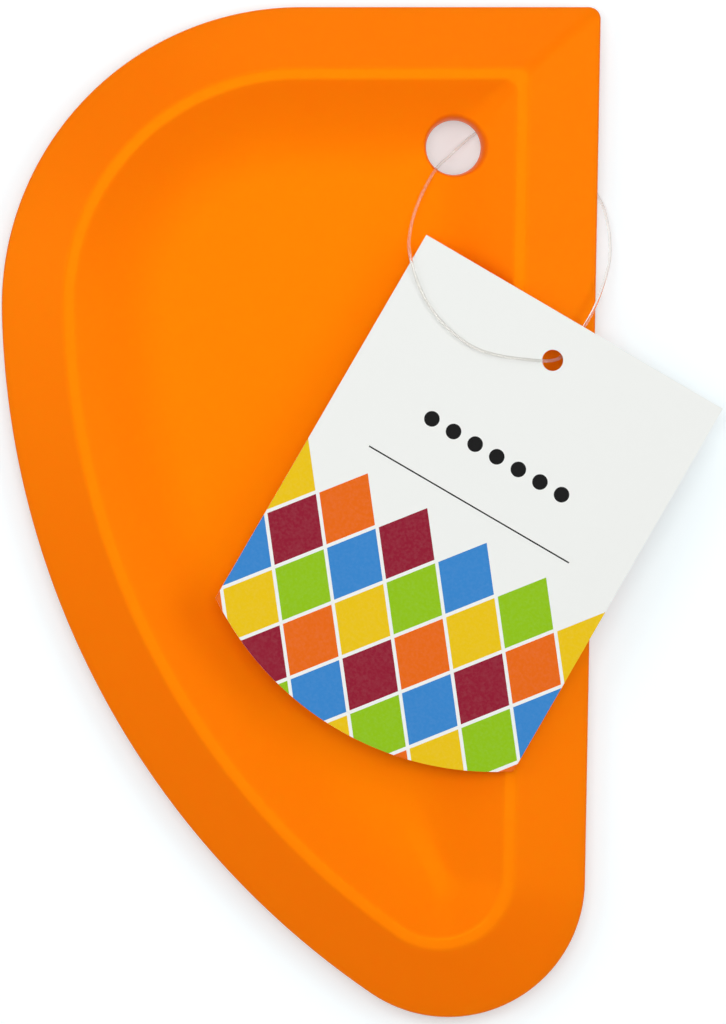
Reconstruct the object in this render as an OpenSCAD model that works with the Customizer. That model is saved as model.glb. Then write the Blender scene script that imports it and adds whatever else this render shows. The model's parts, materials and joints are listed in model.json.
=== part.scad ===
// Dough scraper: two soft skins cured round a steel stiffener, with a card tag on a nylon loop.
// Millimetres. +X to the right, +Y towards the hanging hole's end, +Z up out of the face that shows.
// The origin is under the middle of the outline, on the surface that the scraper lies on.

/* [Outline] */
// Length from the round tip to the straight top edge
blade_l = 161.6; // [156:0.2:168]
// Width from the belly's furthest point to the square corner
blade_w = 95.9; // [92:0.1:100]
// Radius of the shoulder between the top edge and the belly, as a share of the width
shoulder_share = 0.4984; // [0.44:0.0001:0.54]
// Height of the belly's furthest point above the tip, as a share of the length
belly_share = 0.716; // [0.69:0.001:0.74]
// Radius of the round tip
tip_r = 21.9; // [20:0.1:25]
// Lean of the straight side, in degrees
side_lean = 1.04; // [0:0.02:2.5]
// Radius of the corner between the two straight sides
corner_r = 1.9; // [1:0.1:4]

/* [Cross-section] */
// Thickness of the scraping edge
edge_t = 1.0; // [0.8:0.1:2]
// Rounding of the scraping edge
lip_r = 0.3; // [0.1:0.05:0.35]
// Thickness over the two ridges
crest_t = 9.4; // [8.6:0.1:11]
// Width of the bevelled band, from the edge to the middle of the ridge
band_w = 10.8; // [9:0.1:13]
// Width of the bevelled band along the straight side
side_band_w = 12.3; // [10:0.1:14]
// Width of the flat land on top of the ridge
land_w = 1.0; // [0.6:0.1:2]
// Run of the rounding on each side of the land
crest_run = 0.7; // [0.4:0.1:1.2]
// Radius of the ridge at the square corner
ridge_corner_r = 1.6; // [1:0.1:4]
// Depth of the dish below the ridge, on each face
dish_depth = 3.4; // [2:0.1:3.5]
// Run of the dish's straight slope
slope_run = 1.5; // [1:0.1:2.5]
// Run over which the slope eases into the floor
floor_run = 15.0; // [13:0.1:16]
// Radius of the dish floor at the square corner
floor_corner_r = 6.0; // [3:0.1:8]
// Least radius of the dish at the round tip
dish_tip_r = 2.0; // [1.5:0.1:4]

/* [Hanging hole] */
// Radius of the hanging hole
hang_hole_r = 4.35; // [3.5:0.05:5]
// Distance from the top edge to the hole's middle
hole_from_top = 22.5; // [20:0.1:26]
// Distance from the straight side to the hole's middle
hole_from_side = 23.2; // [21:0.1:26]
// Radius of the flare at the hole's mouths
mouth_r = 3.8; // [3.4:0.1:4.2]
// Height of the straight wall in each skin, before the flare
wall_h = 0.4; // [0.2:0.05:0.8]

/* [Stiffener core] */
// Thickness of the steel sheet
core_t = 1.0; // [0.6:0.1:1.4]
// Distance from the scraping edge to the sheet
core_inset = 13.0; // [12:0.1:15]
// Clearance round the sheet in its recess
core_fit = 0.1; // [0.05:0.01:0.2]
// Radius of each bonding hole
bond_r = 3.5; // [2:0.1:5]
// Width of the soft ring between the hanging hole and the sheet
hole_ring_w = 2.0; // [1.2:0.1:3]

/* [Hang tag] */
// Width of the card
tag_w = 55.0; // [45:0.5:65]
// Length of the card's straight sides
tag_side_l = 66.9; // [60:0.1:75]
// Bulge of the rounded lower edge
tag_bulge = 8.3; // [5:0.1:12]
// Thickness of the card
card_t = 0.4; // [0.2:0.05:0.8]
// Radius of the card's hole
tag_hole_r = 1.7; // [1.2:0.1:3]
// Distance from the card's top edge to its hole
tag_hole_drop = 7.1; // [5:0.1:10]
// Turn of the card on the scraper, in degrees
tag_turn = -30.2; // [-35:0.1:-25]
// Tilt of the card about the ridge, which raises its left side, in degrees
tag_tilt = 4.5; // [3:0.1:5]
// Gap between the card and the ridge, which the stiff thread under the card holds open
tag_lift = 1.8; // [1.6:0.05:2]

/* [Tag loop] */
// Diameter of the nylon thread
thread_d = 0.5; // [0.4:0.02:0.56]
// Radius of the socket
socket_r = 1.0; // [0.8:0.05:1.1]
// Length of the socket
socket_l = 3.4; // [3:0.1:4]
// Radius of the socket's inside
socket_bore_r = 0.75; // [0.7:0.01:0.77]
// Thickness of the socket's closed end and of its snap lip
socket_wall = 0.4; // [0.3:0.05:0.5]
// Radius of the opening in the snap lip
lip_hole_r = 0.45; // [0.42:0.01:0.5]
// Largest radius of the arrow tip
arrow_r = 0.6; // [0.5:0.01:0.65]
// Length of the arrow tip
arrow_l = 1.4; // [1.2:0.1:1.8]
// Radius of the neck behind the arrow tip
neck_r = 0.3; // [0.26:0.01:0.36]
// Radius of the collar on the barb
collar_r = 0.8; // [0.6:0.05:1]
// Length of the collar on the barb
collar_l = 1.3; // [1:0.1:1.6]

/* [Hidden] */
$fn = 48;

// Reach of a cut past the face that it opens
overrun = 1;
// Gap between faces that meet on the nylon lock
seat_gap = 0.02;

// Heights above the middle plane, on either side of it. The ridge's height is also how high that plane lies
crest_h = crest_t / 2;
edge_h = edge_t / 2;
floor_h = crest_h - dish_depth;

// Insets at which the cross-section changes, measured from the scraping edge
bevel_d = band_w - land_w / 2 - crest_run;
dish_d = band_w + land_w / 2;
slope_d = dish_d + crest_run;
ease_d = slope_d + slope_run;
floor_d = ease_d + floor_run;
bevel_slope = (crest_h - edge_h) / (bevel_d + crest_run / 2);
dish_slope = dish_depth / (crest_run / 2 + slope_run + floor_run / 2);

// Points on each arc of a ring, and rings on each rounding
corner_steps = 5;
shoulder_steps = 20;
flank_steps = 26;
tip_steps = 18;
crest_steps = 3;
ease_steps = 6;

// Centres and radius of the two long arcs, tangent to the top edge, the belly line and the tip
lean_run = tan(side_lean);
shoulder_r = blade_w * shoulder_share;
belly_y = blade_l * belly_share;
tip_x = side_x(tip_r, tip_r);
belly_drop = belly_y - tip_r;
flank_r = (tip_x * tip_x + belly_drop * belly_drop - tip_r * tip_r) / (2 * (tip_x - tip_r));
shoulder_y = blade_l - shoulder_r;
shoulder_rise = shoulder_y - belly_y;
shoulder_x = flank_r - sqrt(pow(flank_r - shoulder_r, 2) - shoulder_rise * shoulder_rise);
shoulder_end = 180 - atan2(shoulder_rise, flank_r - shoulder_x);

// Middle of the outline's box, which becomes the origin
corner_y = blade_l - corner_r;
mid_x = (side_x(corner_y, corner_r) + corner_r + shoulder_x - shoulder_r) / 2;
mid_y = blade_l / 2;

// Middle of the hanging hole
hole_y = blade_l - hole_from_top;
hole_at = [side_x(hole_y, hole_from_side) - mid_x, hole_y - mid_y];

// Places of the bonding holes, as shares of the width and of the length
bond_shares = [[0.30, 0.81], [0.50, 0.84], [0.22, 0.64], [0.72, 0.64], [0.46, 0.60],
               [0.72, 0.42], [0.44, 0.40], [0.68, 0.22]];

// Route of the thread's front run, from the hanging hole over the card, through its hole and off the side
front_route = [
    [23.8, 57.0, 5.1], [21.7, 55.0, 7.2], [19.6, 51.4, 9.5], [18.2, 48.0, 11.2], [17.4, 44.8, 12.6],
    [17.2, 42.3, 13.4], [17.7, 39.5, 13.6], [18.9, 35.8, 13.4], [20.9, 32.2, 13.2], [23.6, 29.1, 13.0],
    [27.4, 26.3, 12.7], [31.7, 24.9, 12.4], [36.2, 24.3, 12.1], [38.7, 24.1, 11.7], [40.1, 24.2, 11.0],
    [41.4, 24.7, 10.2], [43.2, 26.8, 9.6], [45.1, 29.5, 9.0], [46.5, 31.9, 8.3], [47.6, 34.4, 7.5],
    [48.5, 37.1, 6.6], [49.2, 39.7, 5.6], [49.4, 41.6, 4.9]];

// Route of the run round the straight side to the lock, which its end meets
edge_route = [
    [49.4, 42.7, 4.5], [49.3, 44.5, 3.9], [48.9, 46.9, 3.0], [48.3, 49.0, 2.1], [47.4, 50.9, 1.4]];

// Route of the run from the lock under the ridge and up into the hanging hole
hole_route = [
    [43.3, 56.9, 1.2], [42.4, 58.2, 1.2], [41.0, 59.6, 0.7], [38.9, 60.9, 0.3], [36.8, 61.4, 0.3],
    [34.7, 61.9, 0.3], [32.6, 62.4, 0.3], [31.0, 62.4, 0.4], [29.4, 61.8, 0.8], [28.0, 60.8, 1.4],
    [26.4, 59.5, 2.7], [24.8, 58.0, 4.4]];

// The card's hole lies where the thread's front run passes through it
tag_at = front_route[14];
tag_arc_r = (tag_w * tag_w / 4 + tag_bulge * tag_bulge) / (2 * tag_bulge);

// The card lies over the ridge by the straight side, and its tilt makes its hole lower than that
ridge_x = side_x(tag_at[1] + mid_y, side_band_w) - mid_x;
tag_z = crest_t + tag_lift - (tag_at[0] - ridge_x) * tan(tag_tilt);

// The lock lies level, with its closed end where the run to the hanging hole starts, and in line with it
lock_at = hole_route[0];
lock_way = lock_at - hole_route[1];
lock_turn = atan2(lock_way[1], lock_way[0]);
neck_slack = 0.1;
arrow_tip_r = 0.15;
lock_l = socket_l + collar_l + seat_gap;
lock_end = lock_at + (lock_l + seat_gap) * [cos(lock_turn), sin(lock_turn), 0];

// Groove that the thread presses into the soft ridge under it
groove_ease_share = 0.3;
groove_r = thread_d * (0.5 + groove_ease_share);
groove_from = hole_route[3];
groove_to = hole_route[6] + (hole_route[6] - hole_route[5]) / 2;

// Sides of the thread, and how finely its route is divided
thread_sides = 8;
route_steps = 2;

// X of a line along the straight side, set in from it, at a height above the tip
function side_x(y, inset) = blade_w - (blade_l - y) * tan(side_lean) - inset / cos(side_lean);

// Inset from the straight side that goes with an inset from the other edges
function side_inset(d) = d < band_w ? d * side_band_w / band_w : d + side_band_w - band_w;

// Share of the way from one inset to another
function way(d, from_d, to_d) = (d - from_d) / (to_d - from_d);

// Radius of a ring at the square corner, and at the round tip
function ring_corner_r(d) = d < band_w
    ? corner_r + (ridge_corner_r - corner_r) * way(d, 0, band_w)
    : ridge_corner_r + (floor_corner_r - ridge_corner_r) * way(d, band_w, floor_d);
function ring_tip_r(d) = max(tip_r - d, dish_tip_r);

// Height above the tip of the middle of a ring's tip arc, which touches the side and the long flank arc
function ring_tip_y(d) =
    let (r = ring_tip_r(d),
         a = 1 + lean_run * lean_run,
         b = side_x(0, side_inset(d) + r) - flank_r,
         c = lean_run * b - belly_y,
         reach = flank_r - d - r)
    (-c - sqrt(c * c - a * (b * b + belly_y * belly_y - reach * reach))) / a;

// Points of an arc, from its first step to its last
function arc(centre, r, from_a, to_a, steps, first, last) =
    [for (i = [first:last]) let (a = from_a + (to_a - from_a) * i / steps) centre + r * [cos(a), sin(a)]];

// Outline set in by d, anticlockwise from the straight side at the square corner
function ring(d) =
    let (cr = ring_corner_r(d),
         cy = blade_l - d - cr,
         corner = [side_x(cy, side_inset(d) + cr), cy],
         tr = ring_tip_r(d),
         ty = ring_tip_y(d),
         tip = [side_x(ty, side_inset(d) + tr), ty],
         shoulder = [shoulder_x, shoulder_y],
         flank = [flank_r, belly_y],
         tip_a = 180 + atan2(belly_y - ty, flank_r - tip[0]),
         all = concat(
             arc(corner, cr, -side_lean, 90, corner_steps, 0, corner_steps),
             arc(shoulder, shoulder_r - d, 90, shoulder_end, shoulder_steps, 0, shoulder_steps),
             arc(flank, flank_r - d, shoulder_end, tip_a, flank_steps, 1, flank_steps - 1),
             arc(tip, tr, tip_a, 360 - side_lean, tip_steps, 0, tip_steps)))
    [for (p = all) p - [mid_x, mid_y]];

// Inset and height of each ring of a skin, from the parting face over the ridge to the dish floor
lip_share = 1 - sqrt(0.5);
bevel_drop = bevel_slope * crest_run / 2;
dish_drop = dish_slope * crest_run / 2;
ease_drop = dish_slope * floor_run / 2;
levels = concat(
    [[0, 0],
     [0, edge_h - lip_r],
     [lip_r * lip_share, edge_h - lip_r * lip_share],
     [lip_r, edge_h + bevel_slope * lip_r]],
    [for (i = [0:crest_steps]) let (t = i / crest_steps)
        [bevel_d + crest_run * t, crest_h - bevel_drop * pow(1 - t, 2)]],
    [for (i = [0:crest_steps]) let (t = i / crest_steps)
        [dish_d + crest_run * t, crest_h - dish_drop * t * t]],
    [for (i = [0:ease_steps]) let (t = i / ease_steps)
        [ease_d + floor_run * t, floor_h + ease_drop * pow(1 - t, 2)]]);

// Triangles between neighbouring loops of n points, with a flat face on the first and on the last loop
function loft_faces(loops, n) = concat(
    [[for (i = [0:n - 1]) i]],
    [for (k = [0:loops - 2]) for (i = [0:n - 1]) let (a = k * n + i, b = k * n + (i + 1) % n)
        each [[a, a + n, b + n], [a, b + n, b]]],
    [[for (i = [n - 1:-1:0]) (loops - 1) * n + i]]);

// Point of a smooth curve through a route, at a share of the way from stop i to the next
function route_point(route, i, t) =
    let (last = len(route) - 1,
         p0 = i > 0 ? route[i - 1] : 2 * route[0] - route[1],
         p1 = route[i],
         p2 = route[i + 1],
         p3 = i + 2 <= last ? route[i + 2] : 2 * route[last] - route[last - 1])
    (2 * p1 + (p2 - p0) * t + (2 * p0 - 5 * p1 + 4 * p2 - p3) * t * t
        + (3 * p1 - p0 - 3 * p2 + p3) * t * t * t) / 2;

// The smooth curve's points, and the thread's direction at each of them
function route_curve(route) = concat(
    [for (i = [0:len(route) - 2]) for (j = [0:route_steps - 1]) route_point(route, i, j / route_steps)],
    [route[len(route) - 1]]);
function route_way(curve, i) =
    let (last = len(curve) - 1,
         d = curve[min(i + 1, last)] - curve[max(i - 1, 0)])
    d / norm(d);

// Points round the thread, square to its direction
function thread_points(curve) =
    [for (i = [0:len(curve) - 1])
        let (w = route_way(curve, i),
             side = cross([0, 0, 1], w) / norm(cross([0, 0, 1], w)),
             up = cross(w, side))
        for (k = [0:thread_sides - 1])
            let (a = 360 * k / thread_sides)
            curve[i] + thread_d / 2 * (cos(a) * side + sin(a) * up)];

// One run of the nylon thread
module thread(route) {
    curve = route_curve(route);
    polyhedron(points = thread_points(curve), faces = loft_faces(len(curve), thread_sides));
}

// Cylinder that lies along a line between two points at one height
module rod(from_p, to_p, r) {
    step = to_p - from_p;
    translate(from_p)
        rotate([0, 90, atan2(step[1], step[0])])
            cylinder(r = r, h = norm(step));
}

// Flat outline of the steel sheet, grown by a clearance, with its holes shrunk by as much
module core_outline(grow) {
    difference() {
        polygon(ring(core_inset - grow));
        translate(hole_at)
            circle(r = hang_hole_r + hole_ring_w - grow);
        for (share = bond_shares)
            translate([share[0] * blade_w - mid_x, share[1] * blade_l - mid_y])
                circle(r = bond_r - grow);
    }
}

// Cut of the hanging hole through one skin: a straight wall, then a flare like a quarter round
module hole_cut() {
    translate([hole_at[0], hole_at[1], 0]) {
        translate([0, 0, -overrun])
            cylinder(r = hang_hole_r, h = wall_h + 2 * overrun);
        translate([0, 0, wall_h + mouth_r])
            cylinder(r = hang_hole_r + mouth_r, h = crest_h);
        rotate_extrude()
            difference() {
                translate([0, wall_h])
                    square([hang_hole_r + mouth_r, mouth_r]);
                translate([hang_hole_r + mouth_r, wall_h])
                    circle(r = mouth_r);
            }
    }
}

// One skin above the middle plane, with its hole and half of the recess for the steel sheet
module skin() {
    n = len(ring(0));
    difference() {
        polyhedron(
            points = [for (level = levels) for (p = ring(level[0])) [p[0], p[1], level[1]]],
            faces = loft_faces(len(levels), n));
        hole_cut();
        translate([0, 0, -overrun])
            linear_extrude(overrun + core_t / 2 + core_fit)
                core_outline(core_fit);
    }
}

// Skin on the face that shows
module front_skin() {
    color("#ff8703")
        translate([0, 0, crest_h])
            skin();
}

// Skin on the face that it lies on, with the groove that the thread presses into the ridge
module back_skin() {
    color("#f57c03")
        difference() {
            translate([0, 0, crest_h])
                mirror([0, 0, 1])
                    skin();
            rod(groove_from, groove_to, groove_r);
        }
}

// Steel sheet between the skins, which run through its bonding holes
module stiffener_core() {
    color("#b8bcc0")
        translate([0, 0, crest_h - core_t / 2])
            linear_extrude(core_t)
                core_outline(0);
}

// Flat outline of the card about its own hole, with a round lower edge
module tag_outline() {
    difference() {
        intersection() {
            translate([-tag_w / 2, tag_hole_drop - tag_side_l - tag_bulge])
                square([tag_w, tag_side_l + tag_bulge]);
            union() {
                translate([-tag_w / 2, tag_hole_drop - tag_side_l])
                    square([tag_w, tag_side_l]);
                translate([0, tag_hole_drop - tag_side_l - tag_bulge + tag_arc_r])
                    circle(r = tag_arc_r);
            }
        }
        circle(r = tag_hole_r);
    }
}

// Printed card that lies on the ridge
module hang_tag() {
    color("#eeefed")
        translate([tag_at[0], tag_at[1], tag_z])
            rotate([0, tag_tilt, 0])
                rotate(tag_turn)
                    linear_extrude(card_t)
                        tag_outline();
}

// Thread from the hanging hole over the card, through its hole and off the straight side
module loop_front_run() {
    color("#e6e6e1")
        thread(front_route);
}

// Thread round the straight side to the barb
module loop_edge_run() {
    color("#e6e6e1")
        thread(concat(edge_route, [lock_end]));
}

// Thread from the socket's closed end under the ridge to the hanging hole
module loop_hole_run() {
    color("#e6e6e1")
        thread(hole_route);
}

// Places what is drawn along +X from the socket's closed end
module on_lock() {
    translate(lock_at)
        rotate([0, 90, lock_turn])
            children();
}

// Socket that the arrow tip snaps into
module loop_socket() {
    color("#dcdcd7")
        on_lock()
            difference() {
                translate([0, 0, seat_gap])
                    cylinder(r = socket_r, h = socket_l - seat_gap);
                translate([0, 0, socket_wall])
                    cylinder(r = socket_bore_r, h = socket_l - 2 * socket_wall);
                translate([0, 0, socket_l - socket_wall - overrun])
                    cylinder(r = lip_hole_r, h = socket_wall + 2 * overrun);
            }
}

// Barb at the thread's other end: a collar, a neck and an arrow tip inside the socket
module loop_barb() {
    neck_z = socket_l - socket_wall - seat_gap - neck_slack;
    color("#dcdcd7")
        on_lock() {
            translate([0, 0, socket_l + seat_gap])
                cylinder(r = collar_r, h = collar_l);
            translate([0, 0, neck_z])
                cylinder(r = neck_r, h = socket_l + seat_gap - neck_z);
            translate([0, 0, neck_z - arrow_l])
                cylinder(r1 = arrow_tip_r, r2 = arrow_r, h = arrow_l);
        }
}

front_skin();
back_skin();
stiffener_core();
hang_tag();
loop_front_run();
loop_edge_run();
loop_hole_run();
loop_socket();
loop_barb();
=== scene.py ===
"""Looks of a soft dough scraper with a card hang tag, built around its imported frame.

The frame holds the scraper's two skins, the steel core between them, the card and the three rigid runs of its
nylon loop. This script replaces what is soft with finer meshes, gives every piece its material, and sets up a
plain pale studio with a camera straight above. Lengths are metres in the frame's own axes: +X across the
scraper towards its straight side, +Y towards its hanging hole, +Z up out of the face that shows.
"""

from __future__ import annotations

import json
import logging
import math
from dataclasses import dataclass
from enum import Enum
from typing import Any

import bpy
import numpy as np
from mathutils import Matrix, Vector
from mathutils.geometry import delaunay_2d_cdt

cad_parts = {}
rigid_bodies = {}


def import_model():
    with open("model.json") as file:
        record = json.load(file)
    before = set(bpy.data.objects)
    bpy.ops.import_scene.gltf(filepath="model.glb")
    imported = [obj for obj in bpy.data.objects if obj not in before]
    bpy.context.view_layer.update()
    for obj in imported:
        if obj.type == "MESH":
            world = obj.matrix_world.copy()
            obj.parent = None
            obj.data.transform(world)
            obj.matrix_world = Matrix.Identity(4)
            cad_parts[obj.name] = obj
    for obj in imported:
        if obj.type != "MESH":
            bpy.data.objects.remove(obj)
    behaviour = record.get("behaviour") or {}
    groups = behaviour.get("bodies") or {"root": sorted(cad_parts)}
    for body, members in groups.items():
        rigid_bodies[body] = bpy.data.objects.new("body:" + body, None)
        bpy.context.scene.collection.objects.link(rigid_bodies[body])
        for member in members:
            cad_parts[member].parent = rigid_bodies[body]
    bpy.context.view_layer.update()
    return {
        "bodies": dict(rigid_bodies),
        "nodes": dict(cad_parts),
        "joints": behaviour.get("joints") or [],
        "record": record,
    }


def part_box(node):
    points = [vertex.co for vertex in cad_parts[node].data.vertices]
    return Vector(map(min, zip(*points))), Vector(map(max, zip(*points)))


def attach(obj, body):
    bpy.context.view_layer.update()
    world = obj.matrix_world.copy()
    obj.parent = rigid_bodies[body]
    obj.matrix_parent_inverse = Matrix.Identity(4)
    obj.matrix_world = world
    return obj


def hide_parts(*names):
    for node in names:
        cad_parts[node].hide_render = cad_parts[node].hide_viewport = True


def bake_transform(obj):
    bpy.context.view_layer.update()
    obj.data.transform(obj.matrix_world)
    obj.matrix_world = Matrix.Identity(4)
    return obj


LOG = logging.getLogger("dough_scraper")
MM = 0.001
BAND_W = 10.8 * MM
HALVINGS = 40  # steps of a search, which end far below a mesh's own fineness
WELD = 1e-6  # millimetres within which a fill joins two points
INSIDE_OUTLINE = 1  # a fill's mode that keeps the triangles inside its outer line

Frame = dict[str, Any]
Edge = tuple[int, int]
Face = tuple[int, ...]
Colour = tuple[float, float, float]
Range = tuple[float, float]
Socket = bpy.types.NodeSocket
Route = tuple[tuple[float, float, float], ...]


class Slot(Enum):
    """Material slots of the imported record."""

    SILICONE = "silicone"
    CARD = "card"
    NYLON = "nylon"


class Body(Enum):
    """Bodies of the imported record."""

    SCRAPER = "scraper"
    LOOP = "loop"
    TAG = "tag"


class NodeTree:
    """Node tree of a material or of the world, with short ways to add and join nodes."""

    MIX_COLOURS = (6, 7)  # where a Mix node takes its two colours
    MIX_RESULT = 2  # and where it gives the mixed one

    def __init__(self, owner: bpy.types.Material | bpy.types.World) -> None:
        """Empties the tree, down to its output.

        Args:
            owner: The material or world.
        """
        owner.use_nodes = True
        self.owner = owner
        self.tree = owner.node_tree
        self.tree.nodes.clear()
        self.output = self.add("OutputWorld" if isinstance(owner, bpy.types.World) else "OutputMaterial")

    @classmethod
    def named(cls, name: str) -> NodeTree:
        """Tree of a new material."""
        return cls(bpy.data.materials.new(name))

    def add(self, kind: str, **settings: object) -> bpy.types.Node:
        """Adds a node.

        Args:
            kind: The node's type, without the leading ShaderNode.
            **settings: Values for the node's own properties.

        Returns:
            The new node.
        """
        node = self.tree.nodes.new("ShaderNode" + kind)
        for key, value in settings.items():
            setattr(node, key, value)
        return node

    def join(self, source: Socket, target: Socket) -> None:
        """Links one socket to another."""
        self.tree.links.new(source, target)

    def math(self, operation: str, *values: float | Socket) -> Socket:
        """Adds a Math node.

        Args:
            operation: The node's operation.
            *values: Numbers, or sockets that feed the node's inputs.

        Returns:
            The node's output.
        """
        node = self.add("Math", operation=operation)
        for socket, value in zip(node.inputs, values):
            if isinstance(value, Socket):
                self.join(value, socket)
            else:
                socket.default_value = value
        return node.outputs[0]

    def mix(self, factor: Socket, low: Colour | Socket, high: Colour | Socket) -> Socket:
        """Mixes two colours.

        Args:
            factor: Socket that gives the share of the second colour.
            low: First colour, or a socket that gives it.
            high: Second colour, or a socket that gives it.

        Returns:
            The mixed colour's socket.
        """
        node = self.add("Mix", data_type="RGBA")
        self.join(factor, node.inputs["Factor"])
        for index, value in zip(self.MIX_COLOURS, (low, high)):
            if isinstance(value, Socket):
                self.join(value, node.inputs[index])
            else:
                node.inputs[index].default_value = (*value, 1.0)
        return node.outputs[self.MIX_RESULT]

    def place(self) -> Socket:
        """Coordinates in the scene's own axes."""
        return self.add("TexCoord").outputs["Object"]

    def split(self, vector: Socket) -> tuple[Socket, ...]:
        """Splits a vector.

        Args:
            vector: Socket that gives it.

        Returns:
            Its X, Y and Z sockets.
        """
        node = self.add("SeparateXYZ")
        self.join(vector, node.inputs["Vector"])
        return tuple(node.outputs)

    def noise(self, grain: float, place: Socket, detail: float = 1.0) -> Socket:
        """Adds a Noise Texture.

        Args:
            grain: Size of the noise's features.
            place: Socket that gives the coordinates.
            detail: How many finer octaves it has.

        Returns:
            The noise's value.
        """
        node = self.add("TexNoise")
        node.inputs["Scale"].default_value = 1.0 / grain
        node.inputs["Detail"].default_value = detail
        self.join(place, node.inputs["Vector"])
        return node.outputs["Fac"]

    def spread(self, value: Socket, onto: Range, start: float = 0.0, end: float = 1.0) -> Socket:
        """Maps a value onto a range, and holds it there.

        Args:
            value: Socket that gives the value.
            onto: Ends of the range.
            start: Value that gives the first end.
            end: Value that gives the second end.

        Returns:
            The mapped value's socket.
        """
        node = self.add("MapRange")
        self.join(value, node.inputs["Value"])
        for key, number in zip(("From Min", "From Max", "To Min", "To Max"), (start, end, *onto)):
            node.inputs[key].default_value = number
        return node.outputs["Result"]

    def vary(self, socket: Socket, pattern: Socket, onto: Range) -> None:
        """Varies an input, which keeps the range's middle as its own plain value.

        Args:
            socket: The input.
            pattern: Socket that gives the pattern, from 0 to 1.
            onto: Ends of the input's range.
        """
        socket.default_value = sum(onto) / 2
        self.join(self.spread(pattern, onto), socket)

    def shown(self) -> Socket:
        """Works out which rays show what they hit to the camera.

        Returns:
            Socket that is 1 for a ray straight from the camera, through clear nylon or off a glossy surface.
        """
        ray = self.add("LightPath").outputs
        direct = self.math("MAXIMUM", ray["Is Camera Ray"], ray["Is Transmission Ray"])
        return self.math("MAXIMUM", direct, ray["Is Glossy Ray"])

    def bump(self, height: Socket, depth: float, shader: bpy.types.Node) -> None:
        """Feeds a shader's normal from a height.

        Args:
            height: Socket that gives the height, from 0 to 1.
            depth: How deep the relief is.
            shader: Node whose Normal input is fed.
        """
        node = self.add("Bump")
        node.inputs["Distance"].default_value = depth
        self.join(height, node.inputs["Height"])
        self.join(node.outputs["Normal"], shader.inputs["Normal"])

    def principled(self, **values: object) -> bpy.types.Node:
        """Adds a Principled BSDF that feeds the output.

        Args:
            **values: Input values, keyed by the socket's name with spaces written as underscores.

        Returns:
            The shader node.
        """
        shader = self.add("BsdfPrincipled")
        for key, value in values.items():
            socket = shader.inputs[key.replace("_", " ")]
            socket.default_value = (*value, 1.0) if socket.type == "RGBA" else value
        self.join(shader.outputs["BSDF"], self.output.inputs["Surface"])
        return shader


@dataclass(frozen=True)
class SiliconeFinish:
    """Soft matt orange silicone, slightly translucent at its edges, with a painted highlight along its
    ridges.
    """

    shade: Colour = (1.0, 0.1805, 0.0015)
    mottled_shade: Colour = (1.0, 0.175, 0.0015)
    # painted highlight: a lighter orange on the ridge crests that stands in for their sheen, and how far
    # below the crest it fades in
    painted_ridge_highlight: Colour = (1.0, 0.198, 0.002)
    painted_highlight_blend: float = 0.24 * MM
    mottle_grain: float = 14 * MM
    mottle_detail: float = 2.0
    skin_grain: float = 0.25 * MM
    skin_depth: float = 0.004 * MM
    roughness: Range = (0.34, 0.4)
    ior: float = 1.5
    gloss: float = 1.0
    gloss_tint: Colour = (1.0, 0.42, 0.0)
    glow: float = 0.35
    glow_radius: Colour = (1.0, 0.22, 0.04)
    glow_depth: float = 1.5 * MM

    def material(self, mid_z: float, crest_h: float) -> bpy.types.Material:
        """Makes the material.

        Args:
            mid_z: Height of the scraper's middle plane.
            crest_h: Height of its ridges from that plane.

        Returns:
            The material.
        """
        nodes = NodeTree.named("silicone")
        shader = nodes.principled(
            IOR=self.ior,
            Specular_IOR_Level=self.gloss,
            Specular_Tint=self.gloss_tint,
            Subsurface_Weight=self.glow,
            Subsurface_Radius=self.glow_radius,
            Subsurface_Scale=self.glow_depth,
        )
        place = nodes.place()
        mottle = nodes.noise(self.mottle_grain, place, self.mottle_detail)
        body = nodes.mix(mottle, self.shade, self.mottled_shade)
        # painted highlight: the base colour turns lighter where the skin nears its crest height, in place of
        # the crests' sheen
        rise = nodes.math("ABSOLUTE", nodes.math("SUBTRACT", nodes.split(place)[2], mid_z))
        ridge = nodes.spread(rise, (0.0, 1.0), start=crest_h - self.painted_highlight_blend, end=crest_h)
        nodes.join(nodes.mix(ridge, body, self.painted_ridge_highlight), shader.inputs["Base Color"])
        skin = nodes.noise(self.skin_grain, place)
        nodes.vary(shader.inputs["Roughness"], skin, self.roughness)
        nodes.bump(skin, self.skin_depth, shader)
        return nodes.owner


@dataclass(frozen=True)
class SteelFinish:
    """Plain rolled sheet steel."""

    shade: Colour = (0.55, 0.56, 0.57)
    grain: float = 0.3 * MM
    grain_detail: float = 2.0
    stretch: tuple[float, float, float] = (1.0, 0.03, 1.0)
    roughness: Range = (0.3, 0.45)

    def material(self) -> bpy.types.Material:
        """Makes the material.

        Returns:
            The material.
        """
        nodes = NodeTree.named("sheet_steel")
        shader = nodes.principled(Base_Color=self.shade, Metallic=1.0)
        rolled = nodes.add("Mapping")
        rolled.inputs["Scale"].default_value = self.stretch
        nodes.join(nodes.place(), rolled.inputs["Vector"])
        streaks = nodes.noise(self.grain, rolled.outputs["Vector"], self.grain_detail)
        nodes.vary(shader.inputs["Roughness"], streaks, self.roughness)
        return nodes.owner


@dataclass(frozen=True)
class NylonFinish:
    """Clear, slightly milky nylon."""

    shade: Colour = (0.93, 0.91, 0.88)
    ior: float = 1.5
    clearness: float = 0.95
    waviness: float = 6.0 * MM
    roughness: Range = (0.05, 0.12)

    def material(self) -> bpy.types.Material:
        """Makes the material.

        Returns:
            The material.
        """
        nodes = NodeTree.named("clear_nylon")
        shader = nodes.principled(Base_Color=self.shade, IOR=self.ior, Transmission_Weight=self.clearness)
        nodes.vary(shader.inputs["Roughness"], nodes.noise(self.waviness, nodes.place()), self.roughness)
        return nodes.owner


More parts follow.
